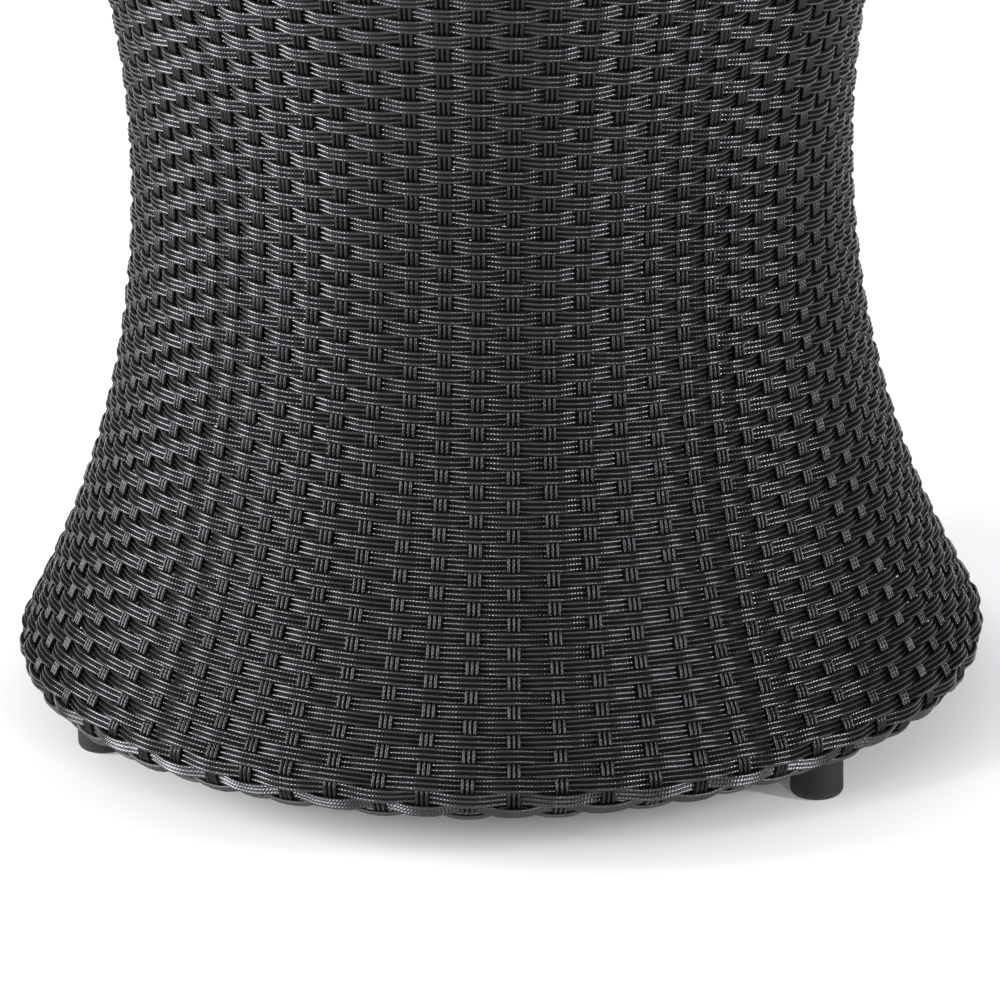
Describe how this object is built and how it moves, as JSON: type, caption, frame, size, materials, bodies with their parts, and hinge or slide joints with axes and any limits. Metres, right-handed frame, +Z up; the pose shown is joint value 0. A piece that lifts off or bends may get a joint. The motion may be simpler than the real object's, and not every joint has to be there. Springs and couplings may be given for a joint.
{
  "type": "outdoor side table",
  "caption": "Hourglass outdoor side table: black flat resin strand woven over a coated tube frame, with plastic feet and a loose tempered glass top.",
  "frame": {"origin": "on the floor, on the table's axis", "axes": "+Z up, -Y to the front, +X to the right as seen from the front"},
  "size_m": [0.4338, 0.4338, 0.4955],
  "materials": {
    "strand": "satin, ribbed",
    "frame": "black powder coat",
    "foot": "matte moulded",
    "pad": "clear soft plastic",
    "glass": "clear, polished edge"
  },
  "bodies": {
    "table": {"woven_wall": "strand", "base_border": "strand", "top_border": "strand", "base_ring": "frame", "top_ring": "frame", "lower_hoop": "frame", "waist_hoop": "frame", "upper_hoop": "frame", "hub_plate": "frame", "leg_left": "frame", "foot_left": "foot", "arm_left": "frame", "pad_left": "pad", "leg_right": "frame", "foot_right": "foot", "arm_right": "frame", "pad_right": "pad", "leg_back": "frame", "foot_back": "foot", "arm_back": "frame", "pad_back": "pad"},
    "glass": {"glass_top": "glass"}
  },
  "joints": [
    {"name": "glass_lift", "type": "slide", "parent": "table", "child": "glass", "axis": [0, 0, 1], "range_m": [0, 0.12]}
  ]
}
